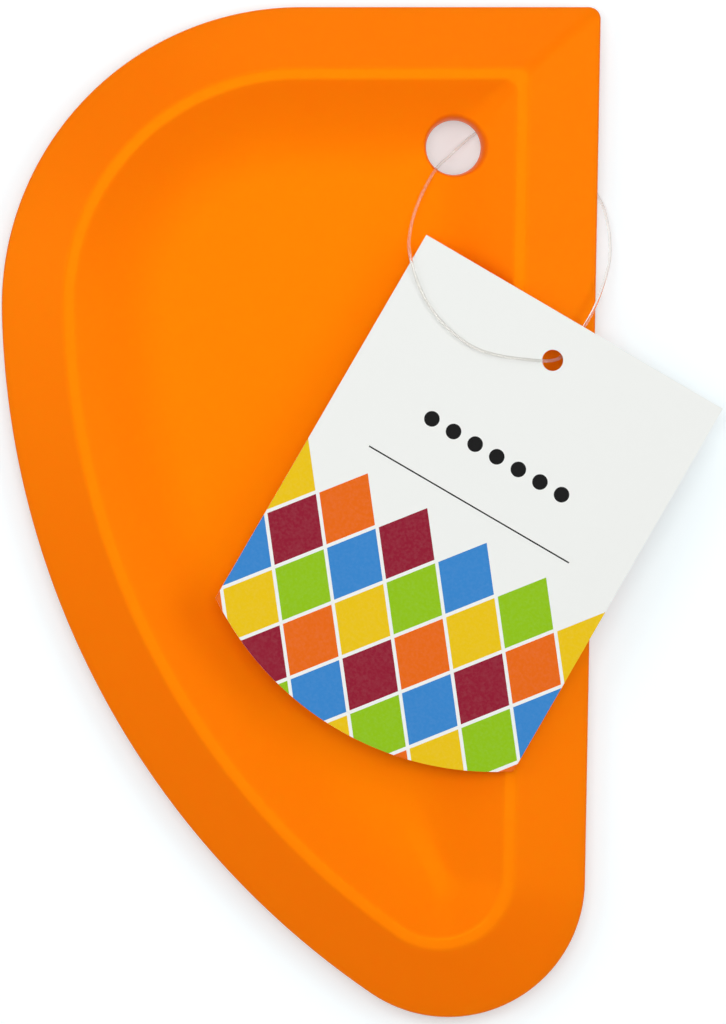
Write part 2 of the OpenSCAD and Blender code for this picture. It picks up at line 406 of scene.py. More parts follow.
class Ink(Enum):
    """Inks of the card's printed border."""

    BLUE = (0.037, 0.232, 0.598)
    BURGUNDY = (0.277, 0.008, 0.029)
    ORANGE = (0.802, 0.137, 0.003)
    YELLOW = (0.819, 0.540, 0.003)
    GREEN = (0.275, 0.536, 0.005)


@dataclass(frozen=True)
class CardFinish:
    """Matt white card with a border of printed diamonds, a row of dots and a ruled line."""

    paper: Colour = (0.855, 0.87, 0.846)
    roughness: float = 0.6
    gloss: float = 0.1
    fibre_grain: float = 0.35 * MM
    fibre_detail: float = 2.0
    fibre_depth: float = 0.003 * MM
    line_ink: Colour = (0.006, 0.006, 0.006)
    ink_grain: float = 0.45 * MM
    ink_strength: Range = (0.965, 1.02)
    diamond_w: float = 11 * MM
    diamond_h: float = 14 * MM
    gap: float = 0.35 * MM
    border_top: float = -37 * MM
    ink_shift: float = 3.0
    dot_row: float = -17.8 * MM
    dot_r: float = 1.25 * MM
    dot_pitch: float = 4.0 * MM
    dots_half_l: float = 14.0 * MM
    rule_row: float = -26.6 * MM
    rule_half_l: float = 18.5 * MM
    rule_half_t: float = 0.12 * MM

    def _border(self, nodes: NodeTree, u: Socket, v: Socket) -> tuple[Socket, Socket]:
        """Works out the border of diamonds.

        Args:
            nodes: The node tree.
            u: Place across the card.
            v: Place along the card.

        Returns:
            The ink's colour socket, and the socket that is 1 where ink lies.
        """
        half_cell = 0.5
        inks = len(Ink)
        across = nodes.math("DIVIDE", u, self.diamond_w)
        along = nodes.math("DIVIDE", nodes.math("SUBTRACT", v, self.border_top), self.diamond_h)
        rising, falling = nodes.math("ADD", across, along), nodes.math("SUBTRACT", across, along)
        rows = [nodes.math("FLOOR", x) for x in (rising, falling)]
        step = nodes.math("ADD", rows[0], nodes.math("MULTIPLY", rows[1], self.ink_shift))
        share = nodes.math("DIVIDE", nodes.math("FLOORED_MODULO", step, float(inks)), float(inks))
        ramp = nodes.add("ValToRGB")
        stops = ramp.color_ramp.elements
        ramp.color_ramp.interpolation = "CONSTANT"
        while len(stops) < inks:
            stops.new(1.0)
        for i, ink in enumerate(Ink):
            stops[i].position = max(0.0, (i - half_cell) / inks)
            stops[i].color = (*ink.value, 1.0)
        nodes.join(share, ramp.inputs["Fac"])
        most = half_cell - self.gap / self.diamond_w
        clear = []
        for x in (rising, falling):
            from_centre = nodes.math("ABSOLUTE", nodes.math("SUBTRACT", nodes.math("FRACT", x), half_cell))
            clear.append(nodes.math("LESS_THAN", from_centre, most))
        inside = nodes.math("MULTIPLY", *clear)
        below = nodes.math("LESS_THAN", nodes.math("SUBTRACT", *rows), half_cell)
        return ramp.outputs["Color"], nodes.math("MULTIPLY", inside, below)

    def _dots(self, nodes: NodeTree, u: Socket, v: Socket) -> Socket:
        """Works out the row of dots.

        Args:
            nodes: The node tree.
            u: Place across the card.
            v: Place along the card.

        Returns:
            Socket that is 1 inside a dot.
        """
        half = self.dot_pitch / 2
        shifted = nodes.math("FLOORED_MODULO", nodes.math("ADD", u, half), self.dot_pitch)
        beside = nodes.math("SUBTRACT", shifted, half)
        off = nodes.math("SUBTRACT", v, self.dot_row)
        square = nodes.math("ADD", nodes.math("MULTIPLY", beside, beside), nodes.math("MULTIPLY", off, off))
        inside = nodes.math("LESS_THAN", square, self.dot_r**2)
        in_row = nodes.math("LESS_THAN", nodes.math("ABSOLUTE", u), self.dots_half_l)
        return nodes.math("MULTIPLY", inside, in_row)

    def _rule(self, nodes: NodeTree, u: Socket, v: Socket) -> Socket:
        """Works out the ruled line.

        Args:
            nodes: The node tree.
            u: Place across the card.
            v: Place along the card.

        Returns:
            Socket that is 1 on the line.
        """
        off = nodes.math("ABSOLUTE", nodes.math("SUBTRACT", v, self.rule_row))
        in_row = nodes.math("LESS_THAN", nodes.math("ABSOLUTE", u), self.rule_half_l)
        return nodes.math("MULTIPLY", nodes.math("LESS_THAN", off, self.rule_half_t), in_row)

    def material(self, plane: Matrix) -> bpy.types.Material:
        """Makes the material.

        Args:
            plane: Where the card's own plane lies in the scene.

        Returns:
            The material.
        """
        nodes = NodeTree.named("printed_card")
        shader = nodes.principled(Roughness=self.roughness, Specular_IOR_Level=self.gloss)
        own = nodes.add("Mapping", vector_type="TEXTURE")
        own.inputs["Location"].default_value = plane.translation
        own.inputs["Rotation"].default_value = plane.to_euler()
        nodes.join(nodes.place(), own.inputs["Vector"])
        place = own.outputs["Vector"]
        u, v, w = nodes.split(place)
        ink, inked = self._border(nodes, u, v)
        strength = nodes.spread(nodes.noise(self.ink_grain, place), self.ink_strength)
        upper = nodes.math("GREATER_THAN", w, 0.0)
        printed = nodes.math("MULTIPLY", nodes.math("MULTIPLY", strength, inked), upper)
        colour = nodes.mix(printed, self.paper, ink)
        for mark in (self._dots(nodes, u, v), self._rule(nodes, u, v)):
            colour = nodes.mix(nodes.math("MULTIPLY", mark, upper), colour, self.line_ink)
        nodes.join(colour, shader.inputs["Base Color"])
        nodes.bump(nodes.noise(self.fibre_grain, place, self.fibre_detail), self.fibre_depth, shader)
        return nodes.owner


@dataclass(frozen=True)
class Outline:
    """Plan of the scraper, and of every line that runs at one inset from its edge.

    The arcs are placed from the lower left of the outline's box, and finished lines from its middle.
    """

    length: float = 161.6 * MM
    width: float = 95.9 * MM
    shoulder_share: float = 0.4984
    belly_share: float = 0.716
    tip_r: float = 21.9 * MM
    side_lean: float = math.radians(1.04)
    corner_r: float = 1.9 * MM
    band_w: float = BAND_W
    side_band_w: float = 12.3 * MM
    ridge_corner_r: float = 1.6 * MM
    floor_corner_r: float = 6.0 * MM
    floor_inset: float = 28.5 * MM
    dish_tip_r: float = 2.0 * MM
    corner_steps: int = 10
    top_steps: int = 33
    shoulder_steps: int = 60
    flank_steps: int = 90
    tip_steps: int = 40

    @property
    def shoulder_r(self) -> float:
        """Radius of the shoulder between the top edge and the belly."""
        return self.width * self.shoulder_share

    @property
    def belly_y(self) -> float:
        """Height of the belly's furthest point above the tip."""
        return self.length * self.belly_share

    @property
    def flank_r(self) -> float:
        """Radius of the long flank, which touches the belly line and the tip."""
        tip_x, drop = self.side_x(self.tip_r, self.tip_r), self.belly_y - self.tip_r
        return (tip_x**2 + drop**2 - self.tip_r**2) / (2 * (tip_x - self.tip_r))

    @property
    def shoulder(self) -> np.ndarray:
        """Middle of the shoulder's arc.

        Returns:
            Its place.
        """
        y = self.length - self.shoulder_r
        run = math.sqrt((self.flank_r - self.shoulder_r) ** 2 - (y - self.belly_y) ** 2)
        return np.array([self.flank_r - run, y])

    @property
    def middle(self) -> np.ndarray:
        """Middle of the outline's box."""
        right = self.side_x(self.length - self.corner_r, self.corner_r) + self.corner_r
        return np.array([(right + self.shoulder[0] - self.shoulder_r) / 2, self.length / 2])

    def side_x(self, y: float | np.ndarray, inset: float | np.ndarray) -> float | np.ndarray:
        """X of the line along the straight side, at a height above the tip."""
        lean = (self.length - y) * math.tan(self.side_lean)
        return self.width - lean - inset / math.cos(self.side_lean)

    def side_inset(self, d: float | np.ndarray) -> np.ndarray:
        """Inset from the straight side.

        Args:
            d: Inset from the other edges, or several.

        Returns:
            The inset from the straight side for each of them.
        """
        d = np.asarray(d, float)
        beyond = d + self.side_band_w - self.band_w
        return np.where(d < self.band_w, d * self.side_band_w / self.band_w, beyond)

    def corner_radius(self, d: float | np.ndarray) -> np.ndarray:
        """Radius at the square corner.

        Args:
            d: Inset of the line, or several.

        Returns:
            The radius for each inset.
        """
        d = np.asarray(d, float)
        outer = self.corner_r + (self.ridge_corner_r - self.corner_r) * d / self.band_w
        way = (d - self.band_w) / (self.floor_inset - self.band_w)
        inner = self.ridge_corner_r + (self.floor_corner_r - self.ridge_corner_r) * way
        return np.where(d < self.band_w, outer, inner)

    def tip_arc(self, d: float) -> tuple[np.ndarray, float]:
        """Arc of the tip, which touches the side and the flank.

        Args:
            d: Inset of the line.

        Returns:
            The arc's middle and its radius.
        """
        r = max(self.tip_r - d, self.dish_tip_r)
        lean = math.tan(self.side_lean)
        a = 1 + lean**2
        b = self.side_x(0, float(self.side_inset(d)) + r) - self.flank_r
        c = lean * b - self.belly_y
        reach = self.flank_r - d - r
        y = (-c - math.sqrt(c**2 - a * (b**2 + self.belly_y**2 - reach**2))) / a
        return np.array([self.side_x(y, float(self.side_inset(d)) + r), y]), r

    def ring(self, d: float, side_shares: np.ndarray) -> np.ndarray:
        """Line at inset d, anticlockwise from the foot of the straight side.

        Args:
            d: Inset from the edge.
            side_shares: Shares of the straight side at which it has points, from 0 up to but not 1.

        Returns:
            The line's points, one row each.
        """
        cr = float(self.corner_radius(d))
        cy = self.length - d - cr
        corner = np.array([self.side_x(cy, float(self.side_inset(d)) + cr), cy])
        tip, tip_r = self.tip_arc(d)
        shoulder, flank = self.shoulder, np.array([self.flank_r, self.belly_y])
        shoulder_a = math.pi + math.atan2(flank[1] - shoulder[1], flank[0] - shoulder[0])
        tip_a = math.pi + math.atan2(flank[1] - tip[1], flank[0] - tip[0])
        corner_arc = _arc(corner, cr, -self.side_lean, math.pi / 2, self.corner_steps)
        shoulder_arc = _arc(shoulder, self.shoulder_r - d, math.pi / 2, shoulder_a, self.shoulder_steps)
        flank_arc = _arc(flank, self.flank_r - d, shoulder_a, tip_a, self.flank_steps)
        tip_arc = _arc(tip, tip_r, tip_a, 2 * math.pi - self.side_lean, self.tip_steps)
        top_shares = np.linspace(0, 1, self.top_steps + 1)[1:-1, None]
        top = corner_arc[-1] + (shoulder_arc[0] - corner_arc[-1]) * top_shares
        side = tip_arc[-1] + (corner_arc[0] - tip_arc[-1]) * side_shares[:, None]
        return np.vstack([side, corner_arc, top, shoulder_arc, flank_arc[1:-1], tip_arc[:-1]]) - self.middle

    def inset_at(self, points: np.ndarray) -> np.ndarray:
        """Inset of points in the quarter round the square corner, where the long curves don't reach.

        Args:
            points: Places from the box's middle, one row each.

        Returns:
            The inset of each of them.
        """
        x, y = (points + self.middle).T
        low, high = np.zeros(len(points)), np.full(len(points), 2 * self.floor_inset)
        for _ in range(HALVINGS):
            d = (low + high) / 2
            r = self.corner_radius(d)
            cy = self.length - d - r
            cx = self.side_x(cy, self.side_inset(d) + r)
            past_side = (x - self.side_x(y, self.side_inset(d))) * math.cos(self.side_lean)
            past_corner = np.where((x > cx) & (y > cy), np.hypot(x - cx, y - cy) - r, -1.0)
            outside = np.maximum(np.maximum(y - self.length + d, past_side), past_corner) > 0
            high = np.where(outside, d, high)
            low = np.where(outside, low, d)
        return (low + high) / 2


def _arc(centre: np.ndarray, r: float, start: float, end: float, steps: int) -> np.ndarray:
    """Points of an arc, both ends included."""
    a = np.linspace(start, end, steps + 1)
    return centre + r * np.column_stack([np.cos(a), np.sin(a)])


@dataclass(frozen=True)
class Profile:
    """Height of a skin above the middle plane, by its inset from the edge."""

    edge_t: float = 1.0 * MM
    lip_r: float = 0.3 * MM
    crest_t: float = 9.4 * MM
    band_w: float = BAND_W
    land_w: float = 1.0 * MM
    crest_run: float = 0.7 * MM
    dish_depth: float = 3.4 * MM
    slope_run: float = 1.5 * MM
    floor_run: float = 15.0 * MM
    lip_steps: int = 6
    stretch_steps: tuple[int, ...] = (15, 7, 3, 7, 11, 13)
    floor_rings: tuple[float, ...] = (1.2 * MM, 2.8 * MM, 5.0 * MM, 8.0 * MM)

    @property
    def edge_h(self) -> float:
        """Height of the sharp edge."""
        return self.edge_t / 2

    @property
    def crest_h(self) -> float:
        """Height of the ridge."""
        return self.crest_t / 2

    @property
    def stops(self) -> tuple[float, float, float, float, float]:
        """Where the section changes, from the edge inward.

        Returns:
            Insets at which the bevel ends, and the land, the dish, its slope and its floor's easing start.
        """
        bevel_end = self.band_w - self.land_w / 2 - self.crest_run
        dish = self.band_w + self.land_w / 2
        slope = dish + self.crest_run
        return bevel_end, bevel_end + self.crest_run, dish, slope, slope + self.slope_run

    def height(self, d: np.ndarray) -> np.ndarray:
        """Height at insets past the lip.

        Args:
            d: Insets from the edge.

        Returns:
            Heights above the middle plane.
        """
        bevel_end, _, dish, _, ease = self.stops
        half_run = self.crest_run / 2
        rise = (self.crest_h - self.edge_h) / (bevel_end + half_run)
        fall = self.dish_depth / (half_run + self.slope_run + self.floor_run / 2)
        up = self.edge_h + rise * d
        onto = self.crest_h - rise * half_run * (1 - (d - bevel_end) / self.crest_run) ** 2
        over = self.crest_h - fall * half_run * ((d - dish) / self.crest_run) ** 2
        down = self.crest_h - fall * (d - dish - half_run)
        left = np.clip(1 - (d - ease) / self.floor_run, 0, 1)
        eased = self.crest_h - self.dish_depth + fall * self.floor_run / 2 * left**2
        before = [d < stop for stop in self.stops]
        return np.select(before, [up, onto, self.crest_h, over, down], eased)

    def rings(self) -> list[tuple[float, float]]:
        """Rings of a skin, from the parting face to the dish floor.

        Returns:
            Inset and height of every ring.
        """
        lip_foot, lip_head = self.edge_h - self.lip_r, float(self.height(np.array(self.lip_r)))
        lip = []
        for t in np.linspace(0, 1, self.lip_steps + 1):
            height = (1 - t) ** 2 * lip_foot + 2 * t * (1 - t) * self.edge_h + t**2 * lip_head
            lip.append((self.lip_r * t**2, float(height)))
        floor = self.stops[-1] + self.floor_run
        ends = (self.lip_r, *self.stops, floor)
        spans = zip(ends, ends[1:], self.stretch_steps)
        stretches = [np.linspace(start, end, steps + 1)[1:] for start, end, steps in spans]
        insets = np.concatenate([*stretches, floor + np.array(self.floor_rings)])
        return [(0.0, 0.0), *lip, *zip(insets.tolist(), self.height(insets).tolist())]


@dataclass(frozen=True)
class HangHole:
    """Hanging hole: a straight wall in the middle, a flare above it, and a soft edge."""

    at: tuple[float, float]
    radius: float
    wall_h: float = 0.4 * MM
    flare_r: float = 3.8 * MM
    soft_r: float = 0.35 * MM
    flare_steps: int = 10
    soft_steps: int = 7

    @property
    def centre(self) -> np.ndarray:
        """Middle of the hole."""
        return np.array(self.at)

    def flare(self, rise: np.ndarray) -> np.ndarray:
        """How far the flare lies outside the wall, at a height above the wall."""
        return self.flare_r - np.sqrt(self.flare_r**2 - rise**2)


@dataclass(frozen=True)
class Groove:
    """Dent that the thread presses into the back ridge."""

    start: tuple[float, float]
    end: tuple[float, float]
    depth: float = 0.68 * MM
    flat_half: float = 0.28 * MM
    half: float = 0.85 * MM

    def lowered(self, points: np.ndarray, heights: np.ndarray, crest_h: float) -> np.ndarray:
        """Heights with the dent pressed in.

        Args:
            points: Places, one row each.
            heights: Their heights above the middle plane.
            crest_h: Height of the ridge.

        Returns:
            The new heights.
        """
        a, b = np.array(self.start), np.array(self.end)
        way = (b - a) / np.linalg.norm(b - a)
        off = points - a
        along = off @ way
        beside = np.abs(off[:, 0] * way[1] - off[:, 1] * way[0])
        t = np.clip((beside - self.flat_half) / (self.half - self.flat_half), 0, 1)
        most = crest_h - self.depth * (1 - t * t * (3 - 2 * t))
        near = (along > 0) & (along < np.linalg.norm(b - a)) & (beside < self.half)
        return np.where(near, np.minimum(heights, most), heights)


@dataclass(frozen=True)
class SkinMesh:
    """Builds one skin of the scraper as a closed mesh."""

    outline: Outline
    profile: Profile
    hole: HangHole
    around: int = 120
    patch_radii: tuple[float, ...] = (6.3 * MM, 6.8 * MM, 7.3 * MM)
    clear_r: float = 8.2 * MM
    sharp: float = math.radians(50)

    def _surface(self, points: np.ndarray) -> np.ndarray:
        """Height of the skin near the square corner, before the hole's mouth is rounded."""
        return self.profile.height(self.outline.inset_at(points))

    def _rim_rise(self, way: np.ndarray) -> np.ndarray:
        """Finds where the hole's flare meets the surface.

        Args:
            way: Directions from the hole's middle, one row each.

        Returns:
            Height of that meeting above the hole's wall, in each direction.
        """
        low, high = np.zeros(len(way)), np.full(len(way), self.hole.flare_r)
        for _ in range(HALVINGS):
            rise = (low + high) / 2
            spot = self.hole.centre + way * (self.hole.radius + self.hole.flare(rise))[:, None]
            over = self.hole.wall_h + rise > self._surface(spot)
            low, high = np.where(over, low, rise), np.where(over, rise, high)
        return low

    def _mouth(self) -> tuple[np.ndarray, int]:
        """Points of the hole's wall, its flare and the patch round it.

        Returns:
            The points, circle by circle from the parting face, and how many circles there are.
        """
        angles = np.arange(self.around) / self.around * 2 * math.pi
        way = np.column_stack([np.cos(angles), np.sin(angles)])
        hole, soft = self.hole, self.hole.soft_r
        rise = self._rim_rise(way)
        out, up = [np.full(self.around, hole.radius)], [np.zeros(self.around)]
        for t in np.linspace(0, 1, hole.flare_steps + 1):
            out.append(hole.radius + hole.flare(t * (rise - soft)))
            up.append(hole.wall_h + t * (rise - soft))
        corner_out, corner_up = hole.radius + hole.flare(rise), hole.wall_h + rise
        end_out = corner_out + soft
        end_up = self._surface(hole.centre + way * end_out[:, None])
        start_out, start_up = out[-1], up[-1]
        for t in np.linspace(0, 1, hole.soft_steps + 1)[1:]:
            near, mid, far = (1 - t) ** 2, 2 * t * (1 - t), t**2
            out.append(near * start_out + mid * corner_out + far * end_out)
            up.append(near * start_up + mid * corner_up + far * end_up)
        circles = [np.column_stack([hole.centre + way * o[:, None], z]) for o, z in zip(out, up)]
        for r in self.patch_radii:
            spot = hole.centre + r * way
            circles.append(np.column_stack([spot, self._surface(spot)]))
        return np.vstack(circles), len(circles)

    def _open_up(self, rings: np.ndarray, quads: list[Face]) -> tuple[list[Face], list[Edge]]:
        """Makes room for the hole among the quads between the rings.

        Args:
            rings: Points of the rings.
            quads: Quads between them.

        Returns:
            The quads that stay, and the edges round the gap.
        """
        near = np.linalg.norm(rings[:, :2] - self.hole.centre, axis=1) < self.clear_r
        kept, gap = [], {}
        for quad in quads:
            if not near[list(quad)].any():
                kept.append(quad)
                continue
            for edge in _round(quad):
                if edge[::-1] in gap:
                    del gap[edge[::-1]]
                else:
                    gap[edge] = True
        return kept, list(gap)

    def build(
        self,
        name: str,
        side_shares: np.ndarray,
        mid_z: float,
        flipped: bool = False,
        groove: Groove | None = None,
    ) -> bpy.types.Object:
        """Builds the skin.

        Args:
            name: Name of the object.
            side_shares: Shares of the straight side at which rings have points.
            mid_z: Height of the middle plane.
            flipped: Whether the skin lies below the middle plane.
            groove: Dent in the ridge, if there is one.

        Returns:
            The skin's object.
        """
        levels = self.profile.rings()
        loops = [self.outline.ring(d, side_shares) for d, _ in levels]
        count, circle = len(loops[0]), self.around
        heights = [np.full(count, height) for _, height in levels]
        if groove:
            crest_h = self.profile.crest_h
            heights = [groove.lowered(loop, level, crest_h) for loop, level in zip(loops, heights)]
        rings = np.column_stack([np.vstack(loops), np.concatenate(heights)])
        mouth, circles = self._mouth()
        middle, last = len(rings), len(rings) - count
        verts = np.vstack([rings, rings[last:].mean(axis=0), mouth])
        faces, gap = self._open_up(rings, _quads(0, count, len(levels)))
        faces += [(last + a, last + b, middle) for a, b in _round(range(count))]
        faces += [(quad[0], *quad[:0:-1]) for quad in _quads(middle + 1, circle, circles)]
        faces += _fill_between(verts, gap, range(len(verts) - circle, len(verts)))
        wall = range(middle + 1, middle + 1 + circle)
        faces += _fill_between(verts, _round(range(count)), wall, down=True)
        if flipped:
            verts[:, 2] *= -1
            faces = [face[::-1] for face in faces]
        verts[:, 2] += mid_z
        return _mesh_object(name, verts, faces, self.sharp)


def _round(points: range | Face) -> list[Edge]:
    """Edges of the closed line through points."""
    return list(zip(points, [*points[1:], *points[:1]]))


def _quads(first: int, count: int, rings: int, stride: int = 0) -> list[Face]:
    """Quads between closed rings of points.

    Args:
        first: First point of the first ring.
        count: Points in a ring.
        rings: How many rings there are.
        stride: Points from one ring's start to the next one's, or 0 where rings follow each other.

    Returns:
        The quads, ring by ring.
    """
    step = stride or count
    starts = [first + k * step for k in range(rings - 1)]
    return [(k + a, k + b, k + b + step, k + a + step) for k in starts for a, b in _round(range(count))]


def _fill_between(verts: np.ndarray, edges: list[Edge], inner: range, down: bool = False) -> list[Face]:
    """Triangles between a closed line of edges and a circle inside it.

    Args:
        verts: Every point of the mesh.
        edges: Edges of the outer line.
        inner: The circle's points.
        down: Whether the triangles face down.

    Returns:
        The triangles.
    """
    order = [*sorted({v for edge in edges for v in edge}), *inner]
    at = {v: i for i, v in enumerate(order)}
    lines = [(at[a], at[b]) for a, b in [*edges, *_round(inner)]]
    centre = verts[inner, :2].mean(axis=0)
    flat = [Vector((verts[v, :2] - centre) / MM) for v in order]
    _, _, tris, origin, _, _ = delaunay_2d_cdt(flat, lines, [], INSIDE_OUTLINE, WELD)
    faces = []
    for tri in tris:
        ids = [order[origin[v][0]] for v in tri]
        if all(v in inner for v in ids):
            continue
        (ax, ay), (bx, by), (cx, cy) = verts[ids, :2]
        up = (bx - ax) * (cy - ay) - (by - ay) * (cx - ax) > 0
        faces.append(tuple(ids if up != down else ids[::-1]))
    return faces


def _mesh_object(name: str, verts: np.ndarray, faces: list[Face], sharp: float) -> bpy.types.Object:
    """Makes a smooth-shaded mesh object.

    Args:
        name: Name of the object and its mesh.
        verts: Points, one row each.
        faces: Corners of each face.
        sharp: Angle past which an edge stays sharp.

    Returns:
        The object, linked to the scene.
    """
    mesh = bpy.data.meshes.new(name)
    mesh.from_pydata([tuple(v) for v in verts.tolist()], [], faces)
    mesh.validate()
    mesh.shade_smooth()
    mesh.set_sharp_from_angle(angle=sharp)
    return _linked(name, mesh)


def _linked(name: str, data: bpy.types.ID) -> bpy.types.Object:
    """Puts an object in the scene.

    Args:
        name: Name of the object.
        data: Its mesh, camera or lamp.

    Returns:
        The object.
    """
    thing = bpy.data.objects.new(name, data)
    bpy.context.scene.collection.objects.link(thing)
    return thing


@dataclass
class Scraper:
    """The two silicone skins and the steel core between them."""

    frame: Frame
    outline: Outline = Outline()
    profile: Profile = Profile()
    silicone: SiliconeFinish = SiliconeFinish()
    steel: SteelFinish = SteelFinish()
    groove: Groove = Groove(start=(38.9 * MM, 60.9 * MM), end=(31.55 * MM, 62.65 * MM))
    side_steps: int = 75
    groove_from: float = 0.9
    steps_below_groove: int = 59
    steps_at_groove: int = 89

    def build(self) -> list[bpy.types.Object]:
        """Builds and dresses the pieces.

        Returns:
            The two skins and the core.
        """
        mount = _row(self.frame["record"]["mounts"], "hang_hole")
        hole = HangHole(tuple(mount["pos_m"][:2]), mount["dims"]["r_mm"] * MM)
        maker = SkinMesh(self.outline, self.profile, hole)
        mid_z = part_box("front_skin")[0].z
        even = np.linspace(0, 1, self.side_steps + 1)[:-1]
        below = np.linspace(0, self.groove_from, self.steps_below_groove + 1)[:-1]
        beside = np.linspace(self.groove_from, 1, self.steps_at_groove + 1)[:-1]
        front = maker.build("front_skin_silicone", even, mid_z)
        fine = np.concatenate([below, beside])
        back = maker.build("back_skin_silicone", fine, mid_z, flipped=True, groove=self.groove)
        material = self.silicone.material(mid_z, self.profile.crest_h)
        for piece, node in ((front, "front_skin"), (back, "back_skin")):
            piece.data.materials.append(material)
            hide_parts(node)
            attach(piece, Body.SCRAPER.value)
        return [front, back, _dressed_node(self.frame, "stiffener_core", self.steel.material())]


def _row(rows: list[dict[str, Any]], name: str) -> dict[str, Any]:
    """The record's row that has a name."""
    return next(row for row in rows if row["name"] == name)


def _dressed_node(frame: Frame, name: str, material: bpy.types.Material) -> bpy.types.Object:
    """Gives a carried-over CAD node its material.

    Args:
        name: The node's name.
        material: Its new material.

    Returns:
        The node's object.
    """
    node = frame["nodes"][name]
    node.data.materials.clear()
    node.data.materials.append(material)
    return node


@dataclass
class HangTag:
    """Printed card that hangs on the thread by its hole, just above the ridge."""

    frame: Frame
    thickness: float = 0.4 * MM
    width: float = 55.0 * MM
    side_l: float = 66.9 * MM
    bulge: float = 8.3 * MM
    hole_r: float = 1.7 * MM
    hole_drop: float = 7.1 * MM
    turn: float = math.radians(-30.2)
    arc_steps: int = 48
    sharp: float = math.radians(30)
    card: CardFinish = CardFinish()

    def _outline(self) -> np.ndarray:
        """Outline of the card about its own hole.

        Returns:
            Points round it, anticlockwise from its upper right corner, one row each.
        """
        half = self.width / 2
        arc_r = (half**2 + self.bulge**2) / (2 * self.bulge)
        middle = np.array([0.0, self.hole_drop - self.side_l - self.bulge + arc_r])
        down, reach = -math.pi / 2, math.asin(half / arc_r)
        lower = _arc(middle, arc_r, down - reach, down + reach, self.arc_steps)
        return np.vstack([[half, self.hole_drop], [-half, self.hole_drop], lower])

    def _plane(self) -> Matrix:
        """Finds the card's own plane from the swivel that it turns on.

        Returns:
            Place of the middle of the card's hole, with the card's tilt and turn.
        """
        swivel = _row(self.frame["joints"], "tag_swivel")
        axis = Vector(swivel["axis"]).normalized()
        turn = Matrix.Rotation(math.atan2(axis.x, axis.z), 4, "Y") @ Matrix.Rotation(self.turn, 4, "Z")
        drop = min((turn @ Vector((x, y, 0))).z for x, y in self._outline())
        low_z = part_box("hang_tag")[0].z
        height = low_z + self.thickness / 2 * axis.z - drop
        pivot = Vector(swivel["pos_m"])
        return Matrix.Translation(pivot + axis * ((height - pivot.z) / axis.z)) @ turn

    def build(self) -> list[bpy.types.Object]:
        """Builds and dresses the card.

        Returns:
            The card.
        """
        ring = self._outline()
        hole = _arc(np.zeros(2), self.hole_r, 0, 2 * math.pi, self.arc_steps)[:-1]
        n, count, half = len(ring), len(ring) + len(hole), self.thickness / 2
        flat = np.vstack([ring, hole])
        verts = np.vstack([np.column_stack([flat, np.full(count, side)]) for side in (-half, half)])
        face = _fill_between(verts[:count], _round(range(n)), range(n, count))
        faces = [tuple(v + count for v in f) for f in face] + [f[::-1] for f in face]
        faces += _quads(0, n, 2, count) + [quad[::-1] for quad in _quads(n, len(hole), 2, count)]
        plane = self._plane()
        piece = _mesh_object("hang_tag_card", verts, faces, self.sharp)
        piece.data.transform(plane)
        piece.data.materials.append(self.card.material(plane))
        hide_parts("hang_tag")
        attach(piece, Body.TAG.value)
        return [piece]


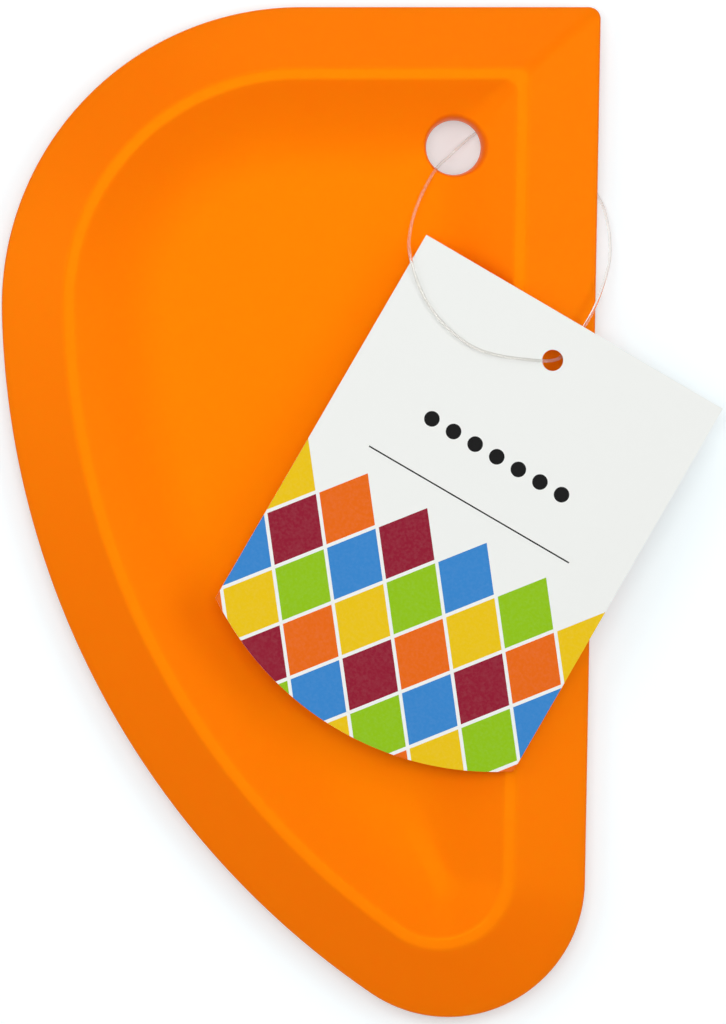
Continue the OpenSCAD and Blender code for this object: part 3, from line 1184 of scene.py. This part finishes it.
@dataclass
class TagLoop:
    """Nylon loop: one thread from the socket round to the barb, and the lock that they make."""

    frame: Frame
    nylon: NylonFinish = NylonFinish()
    thread_d: float = 0.5 * MM
    sides: int = 12
    steps: int = 8
    sharp: float = math.radians(60)
    bend_half: float = 1.2 * MM
    hole_run: Route = (
        (43.3, 56.9, 1.2), (42.4, 58.2, 1.2), (41.0, 59.6, 0.7), (38.9, 60.9, 0.3), (36.8, 61.4, 0.3),
        (34.7, 61.9, 0.3), (32.6, 62.4, 0.3), (31.0, 62.4, 0.4), (29.4, 61.8, 0.8), (28.0, 60.8, 1.4),
        (26.4, 59.5, 2.7), (24.8, 58.0, 4.4),
    )
    front_run: Route = (
        (23.8, 57.0, 5.1), (21.7, 55.0, 7.2), (19.6, 51.4, 9.5), (18.2, 48.0, 11.2), (17.4, 44.8, 12.6),
        (17.2, 42.3, 13.4), (17.7, 39.5, 13.6), (18.9, 35.8, 13.4), (20.9, 32.2, 13.2), (23.6, 29.1, 13.0),
        (27.4, 26.3, 12.7), (31.7, 24.9, 12.4), (36.2, 24.3, 12.1), (38.7, 24.1, 11.7), (40.1, 24.2, 11.0),
        (41.4, 24.7, 10.2), (43.2, 26.8, 9.6), (45.1, 29.5, 9.0), (46.5, 31.9, 8.3), (47.6, 34.4, 7.5),
        (48.5, 37.1, 6.6), (49.2, 39.7, 5.6), (49.4, 41.6, 4.9),
    )
    edge_run: Route = (
        (49.4, 42.7, 4.5), (49.3, 44.5, 3.9), (48.9, 46.9, 3.0), (48.3, 49.0, 2.1), (47.4, 50.9, 1.4),
    )
    lock_l: float = 4.74 * MM

    def _route(self) -> np.ndarray:
        """Lays the three runs end to end, and adds the barb's end.

        Returns:
            Points from the socket's closed end to the barb's collar, one row each.
        """
        runs = np.array(self.hole_run + self.front_run + self.edge_run) * MM
        way = runs[0] - runs[1]
        return np.vstack([runs, runs[0] + way / np.linalg.norm(way) * self.lock_l])

    def _centreline(self) -> np.ndarray:
        """Draws a smooth curve through the route.

        Returns:
            The curve's points, one row each.
        """
        route = self._route()
        p = np.vstack([2 * route[0] - route[1], route, 2 * route[-1] - route[-2]])
        spots = []
        for before, a, b, after in zip(p, p[1:], p[2:], p[3:]):
            for t in np.arange(self.steps) / self.steps:
                line = 2 * a + (b - before) * t
                curve = (2 * before - 5 * a + 4 * b - after) * t**2
                spots.append((line + curve + (3 * a - before - 3 * b + after) * t**3) / 2)
        return np.vstack([*spots, route[-1]])

    def _tube(self, line: np.ndarray) -> bpy.types.Object:
        """Makes the round thread, closed at both ends.

        Args:
            line: Points of its middle line, one row each.

        Returns:
            The thread's object.
        """
        verts = []
        for i, spot in enumerate(line):
            way = line[min(i + 1, len(line) - 1)] - line[max(i - 1, 0)]
            way /= np.linalg.norm(way)
            side = np.cross((0, 0, 1), way)
            side /= np.linalg.norm(side)
            up = np.cross(way, side)
            for k in range(self.sides):
                a = 2 * math.pi * k / self.sides
                verts.append(spot + self.thread_d / 2 * (math.cos(a) * side + math.sin(a) * up))
        faces = [tuple(range(self.sides))[::-1], tuple(range(len(verts) - self.sides, len(verts)))]
        faces += _quads(0, self.sides, len(line))
        return _mesh_object("loop_thread", np.array(verts), faces, self.sharp)

    def _bend(self, thread: bpy.types.Object) -> None:
        """Bakes the thread's placement into its mesh.

        Args:
            thread: The thread's object.
        """
        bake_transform(thread)

    def build(self) -> list[bpy.types.Object]:
        """Builds and dresses the thread and its lock.

        Returns:
            The thread, the socket and the barb.
        """
        line = self._centreline()
        thread = self._tube(line)
        material = self.nylon.material()
        thread.data.materials.append(material)
        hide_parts("loop_hole_run", "loop_front_run", "loop_edge_run")
        self._bend(thread)
        lock = [_dressed_node(self.frame, node, material) for node in ("loop_socket", "loop_barb")]
        return [thread, *lock]


@dataclass(frozen=True)
class Camera:
    """Camera straight above, framed as the photograph is."""

    photo_w: int = 726
    photo_h: int = 1024
    pixel: float = 0.16 * MM
    origin_px: tuple[float, float] = (301.2, 512.1)
    focus_z: float = 4.7 * MM
    lens: float = 400.0
    sensor: float = 36.0
    nearest: float = 0.01
    furthest: float = 20.0

    def build(self) -> None:
        """Makes the camera and hands it to the scene."""
        data = bpy.data.cameras.new("camera")
        data.lens, data.sensor_width = self.lens, self.sensor
        data.clip_start, data.clip_end = self.nearest, self.furthest
        x = (self.photo_w / 2 - self.origin_px[0]) * self.pixel
        y = (self.origin_px[1] - self.photo_h / 2) * self.pixel
        distance = self.photo_h * self.pixel * self.lens / self.sensor
        camera = _linked("camera", data)
        camera.location = (x, y, self.focus_z + distance)
        bpy.context.scene.camera = camera


@dataclass(frozen=True)
class Lamp:
    """A soft round lamp aimed at the scraper."""

    name: str
    place: tuple[float, float, float]
    size: float
    power: float

    def build(self) -> None:
        """Makes the lamp."""
        data = bpy.data.lights.new(self.name, "AREA")
        data.shape, data.size, data.energy = "DISK", self.size, self.power
        lamp = _linked(self.name, data)
        lamp.location = self.place
        lamp.rotation_mode = "QUATERNION"
        lamp.rotation_quaternion = Vector(self.place).to_track_quat("Z", "Y")


@dataclass(frozen=True)
class Studio:
    """Pale floor, pale world and soft lamps."""

    floor_size: float = 6.0
    floor_drop: float = 0.02 * MM
    floor_shade: Colour = (0.715, 0.8, 0.825)
    floor_lift: float = 0.33
    world_level: float = 0.56
    lamps: tuple[Lamp, ...] = (
        Lamp("overhead_lamp", (0.0, 0.06, 0.6), 0.3, 0.92),
        Lamp("far_lamp", (0.0, 0.5, 0.45), 0.4, 0.43),
        Lamp("right_lamp", (0.45, 0.1, 0.5), 0.4, 0.86),
        Lamp("left_lamp", (-0.45, 0.1, 0.5), 0.4, 0.76),
    )

    def _floor(self) -> None:
        """Makes the floor, which shows pure white to the camera outside the shadows."""
        half, low = self.floor_size / 2, -self.floor_drop
        corners = [(-half, -half, low), (half, -half, low), (half, half, low), (-half, half, low)]
        floor = _mesh_object("floor", np.array(corners), [(0, 1, 2, 3)], math.pi)
        nodes = NodeTree.named("pale_floor")
        matt, lift, both = nodes.add("BsdfDiffuse"), nodes.add("Emission"), nodes.add("AddShader")
        matt.inputs["Color"].default_value = (*self.floor_shade, 1.0)
        nodes.join(nodes.math("MULTIPLY", nodes.shown(), self.floor_lift), lift.inputs["Strength"])
        nodes.join(matt.outputs["BSDF"], both.inputs[0])
        nodes.join(lift.outputs["Emission"], both.inputs[1])
        nodes.join(both.outputs["Shader"], nodes.output.inputs["Surface"])
        floor.data.materials.append(nodes.owner)

    def _world(self) -> None:
        """Makes the world: an even pale light, white where the camera sees it."""
        bpy.context.scene.world = bpy.data.worlds.new("studio")
        nodes = NodeTree(bpy.context.scene.world)
        sky = nodes.add("Background")
        nodes.join(nodes.spread(nodes.shown(), (self.world_level, 1.0)), sky.inputs["Strength"])
        nodes.join(sky.outputs["Background"], nodes.output.inputs["Surface"])

    def build(self) -> None:
        """Makes the studio."""
        self._floor()
        self._world()
        for lamp in self.lamps:
            lamp.build()
        bpy.context.scene.view_settings.view_transform = "Standard"


def main() -> None:
    """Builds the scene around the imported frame."""
    logging.basicConfig(level=logging.INFO, format="%(message)s")
    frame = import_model()
    Camera().build()
    for assembly in (TagLoop(frame), Scraper(frame), HangTag(frame)):
        for piece in assembly.build():
            LOG.info("%s: %d faces in %s", piece.name, len(piece.data.polygons), piece.data.materials[0].name)
    Studio().build()


if __name__ == "__main__":
    main()
